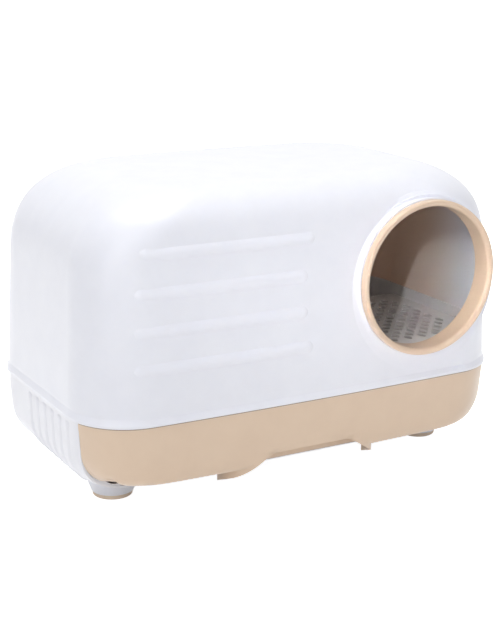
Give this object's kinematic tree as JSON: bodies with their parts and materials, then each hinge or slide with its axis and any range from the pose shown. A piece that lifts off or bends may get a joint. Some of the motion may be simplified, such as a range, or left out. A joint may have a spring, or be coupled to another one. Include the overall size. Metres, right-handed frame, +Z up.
{
  "type": "drawer litter box",
  "caption": "Enclosed litter box for a small pet: a rounded hood with a round entrance stands on a base with a pull-out litter drawer; a perforated step and a spill frame sit inside.",
  "frame": {"origin": "on the floor under the middle of the whole box, the entrance ring's lip included", "axes": "+Z up, -Y the front with the entrance and the drawer, +X to the right seen from the front"},
  "size_m": [0.579, 0.3486, 0.372],
  "materials": {
    "white_plastic": "satin",
    "inner_white": "fine grain",
    "beige_plastic": "satin",
    "foot_beige": "matte",
    "screw_steel": "plain"
  },
  "bodies": {
    "base": {"base_tub": "white_plastic", "inner_frame": "inner_white", "foot_pad_front_left": "foot_beige", "foot_pad_front_right": "foot_beige", "foot_pad_back_left": "foot_beige", "foot_pad_back_right": "foot_beige", "drawer_runner_left": "inner_white", "drawer_runner_right": "inner_white", "runner_screws": "screw_steel"},
    "drawer": {"drawer_tray": "beige_plastic", "drawer_front": "beige_plastic", "drawer_front_screws": "screw_steel"},
    "hood": {"hood": "white_plastic", "entrance_ring": "beige_plastic", "ring_screws": "screw_steel"},
    "step": {"step_plate": "inner_white"}
  },
  "joints": [
    {"name": "drawer_slide", "type": "slide", "parent": "base", "child": "drawer", "axis": [0, -1, 0], "range_m": [0, 0.2]},
    {"name": "hood_lift", "type": "slide", "parent": "base", "child": "hood", "axis": [0, 0, 1], "range_m": [0, 0.25]},
    {"name": "step_lift", "type": "slide", "parent": "base", "child": "step", "axis": [0, 0, 1], "range_m": [0, 0.12]}
  ]
}
